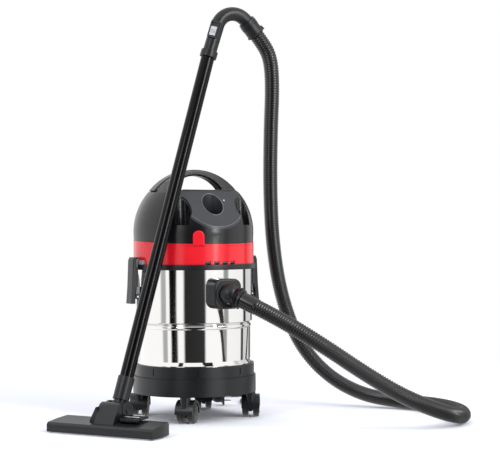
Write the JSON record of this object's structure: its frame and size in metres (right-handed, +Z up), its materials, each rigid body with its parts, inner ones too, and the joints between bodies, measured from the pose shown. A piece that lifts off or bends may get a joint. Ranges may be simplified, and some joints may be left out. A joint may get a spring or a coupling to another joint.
{
  "type": "shop vacuum",
  "caption": "Wet and dry canister vacuum: bright steel drum on casters, lift-off motor head with latches, ribbed hose, bent-handle wand and floor nozzle.",
  "frame": {"origin": "on the floor, on the axis of the drum", "axes": "+Z up along the drum axis; -Y to the front, where the hose goes in; +X to the machine's left-hand latch seen from behind, its right seen from the front"},
  "size_m": [1.0445, 0.9865, 1.071],
  "materials": {
    "bright_steel": "bright annealed stainless sheet, near mirror",
    "plain_steel": "zinc plated steel",
    "black_plastic": "moulded, fine satin",
    "dome_plastic": "moulded, satin",
    "black_gloss": "extruded, glossy",
    "red_plastic": "moulded, glossy",
    "grey_plastic": "moulded, fine texture",
    "latch_grey": "moulded",
    "pedal_plastic": "moulded, with bright strips",
    "hose_plastic": "ribbed, blow moulded",
    "wheel_plastic": "moulded",
    "soft_rubber": "moulded",
    "lead_rubber": "extruded",
    "grey_foam": "open-cell foam",
    "bristle": "nylon bristle",
    "motor_casing": "moulded",
    "rotor_copper": "wound armature on a steel shaft",
    "fan_aluminium": "pressed sheet",
    "float_plastic": "moulded"
  },
  "bodies": {
    "root": {"drum_shell": "bright_steel", "drum_rim": "black_plastic", "drum_base": "black_plastic", "caster_stems": "plain_steel", "inlet_housing": "black_plastic", "inlet_sleeve": "black_plastic", "inlet_deflector": "black_plastic", "hose_elbow": "black_plastic", "latch_brackets": "black_plastic", "latch_fasteners": "plain_steel", "head_gasket": "soft_rubber", "wand_lower": "black_gloss", "wand_upper": "black_gloss", "wand_handle": "black_plastic", "handle_collar": "black_plastic", "suction_hose": "hose_plastic", "neck_socket": "black_plastic", "power_lead": "lead_rubber", "lead_coil": "lead_rubber", "plug_lead": "lead_rubber", "power_plug": "lead_rubber"},
    "head": {"head_band": "red_plastic", "head_dome": "dome_plastic", "front_panel": "grey_plastic", "carry_handle": "dome_plastic", "latch_catches": "latch_grey", "motor_plate": "black_plastic", "head_screws": "plain_steel", "motor_can": "motor_casing", "motor_bearings": "plain_steel", "exhaust_foam": "grey_foam", "float_cage": "black_plastic", "filter_sleeve": "grey_foam", "switch_case": "black_plastic", "cord_gland": "soft_rubber"},
    "rotor": {"motor_rotor": "rotor_copper", "suction_fan": "fan_aluminium"},
    "float": {"valve_float": "float_plastic"},
    "switch": {"switch_rocker": "red_plastic"},
    "latch_left": {"latch_hook_left": "latch_grey", "latch_lever_left": "black_plastic"},
    "latch_right": {"latch_hook_right": "latch_grey", "latch_lever_right": "black_plastic"},
    "cuff": {"hose_cuff": "black_plastic"},
    "slider": {"air_slider": "grey_plastic"},
    "nozzle_neck": {"neck_elbow": "black_plastic"},
    "nozzle": {"nozzle_body": "black_plastic", "nozzle_sole": "plain_steel", "neck_pin": "plain_steel"},
    "brush": {"nozzle_brush": "bristle"},
    "rollers": {"nozzle_rollers": "black_plastic"},
    "pedal": {"nozzle_pedal": "pedal_plastic"},
    "caster_front_left": {"caster_fork_front_left": "black_plastic"},
    "wheels_front_left": {"caster_wheels_front_left": "wheel_plastic"},
    "caster_front_right": {"caster_fork_front_right": "black_plastic"},
    "wheels_front_right": {"caster_wheels_front_right": "wheel_plastic"},
    "caster_rear_right": {"caster_fork_rear_right": "black_plastic"},
    "wheels_rear_right": {"caster_wheels_rear_right": "wheel_plastic"},
    "caster_rear_left": {"caster_fork_rear_left": "black_plastic"},
    "wheels_rear_left": {"caster_wheels_rear_left": "wheel_plastic"}
  },
  "joints": [
    {"name": "head_lift", "type": "slide", "parent": "root", "child": "head", "axis": [0, 0.4308, 0.9025], "range_m": [0, 0.15]},
    {"name": "motor_spin", "type": "hinge", "parent": "head", "child": "rotor", "pos_m": [0, 0.014, 0.48], "axis": [0, 0, 1], "continuous": true},
    {"name": "float_rise", "type": "slide", "parent": "head", "child": "float", "axis": [0, 0, 1], "range_m": [0, 0.022]},
    {"name": "switch_rock", "type": "hinge", "parent": "head", "child": "switch", "pos_m": [-0.05358, -0.13957, 0.468], "axis": [0.9336, -0.3584, 0], "range_deg": [-4, 4]},
    {"name": "latch_left_swing", "type": "hinge", "parent": "root", "child": "latch_left", "pos_m": [-0.166, 0, 0.32], "axis": [0, -1, 0], "range_deg": [0, 48]},
    {"name": "latch_right_swing", "type": "hinge", "parent": "root", "child": "latch_right", "pos_m": [0.166, 0, 0.32], "axis": [0, 1, 0], "range_deg": [0, 48]},
    {"name": "cuff_swivel", "type": "hinge", "parent": "root", "child": "cuff", "pos_m": [0.12093, -0.075, 1.03646], "axis": [0.6691, 0, -0.7431], "continuous": true},
    {"name": "air_slide", "type": "slide", "parent": "root", "child": "slider", "axis": [0.3169, 0, 0.9484], "range_m": [0, 0.01]},
    {"name": "neck_swivel", "type": "hinge", "parent": "root", "child": "nozzle_neck", "pos_m": [-0.28573, -0.16597, 0.055], "axis": [0.3154, 0.0977, 0.9439], "range_deg": [-20, 20]},
    {"name": "nozzle_pitch", "type": "hinge", "parent": "nozzle_neck", "child": "nozzle", "pos_m": [-0.28573, -0.16597, 0.055], "axis": [0.541, -0.841, 0], "range_deg": [-15, 45]},
    {"name": "pedal_tilt", "type": "hinge", "parent": "nozzle", "child": "pedal", "pos_m": [-0.27069, -0.23001, 0.032], "axis": [0.541, -0.841, 0], "range_deg": [-8, 0]},
    {"name": "brush_drop", "type": "slide", "parent": "nozzle", "child": "brush", "axis": [0, 0, -1], "range_m": [0, 0.0028]},
    {"name": "roller_spin", "type": "hinge", "parent": "nozzle", "child": "rollers", "pos_m": [-0.29751, -0.17354, 0.009], "axis": [0.541, -0.841, 0], "continuous": true},
    {"name": "swivel_front_left", "type": "hinge", "parent": "root", "child": "caster_front_left", "pos_m": [-0.08489, -0.12123, 0.06], "axis": [0, 0, 1], "continuous": true},
    {"name": "roll_front_left", "type": "hinge", "parent": "caster_front_left", "child": "wheels_front_left", "pos_m": [-0.07377, -0.10973, 0.028], "axis": [-0.7193, 0.6947, 0], "continuous": true},
    {"name": "swivel_front_right", "type": "hinge", "parent": "root", "child": "caster_front_right", "pos_m": [0.12123, -0.08489, 0.06], "axis": [0, 0, 1], "continuous": true},
    {"name": "roll_front_right", "type": "hinge", "parent": "caster_front_right", "child": "wheels_front_right", "pos_m": [0.12923, -0.07103, 0.028], "axis": [-0.866, 0.5, 0], "continuous": true},
    {"name": "swivel_rear_right", "type": "hinge", "parent": "root", "child": "caster_rear_right", "pos_m": [0.08489, 0.12123, 0.06], "axis": [0, 0, 1], "continuous": true},
    {"name": "roll_rear_right", "type": "hinge", "parent": "caster_rear_right", "child": "wheels_rear_right", "pos_m": [0.0914, 0.13585, 0.028], "axis": [-0.9135, 0.4067, 0], "continuous": true},
    {"name": "swivel_rear_left", "type": "hinge", "parent": "root", "child": "caster_rear_left", "pos_m": [-0.12123, 0.08489, 0.06], "axis": [0, 0, 1], "continuous": true},
    {"name": "roll_rear_left", "type": "hinge", "parent": "caster_rear_left", "child": "wheels_rear_left", "pos_m": [-0.11276, 0.09846, 0.028], "axis": [-0.848, 0.5299, 0], "continuous": true}
  ],
  "couplings": [
    {"joint": "brush_drop", "follows": "pedal_tilt", "m_per_rad": -0.020054}
  ]
}
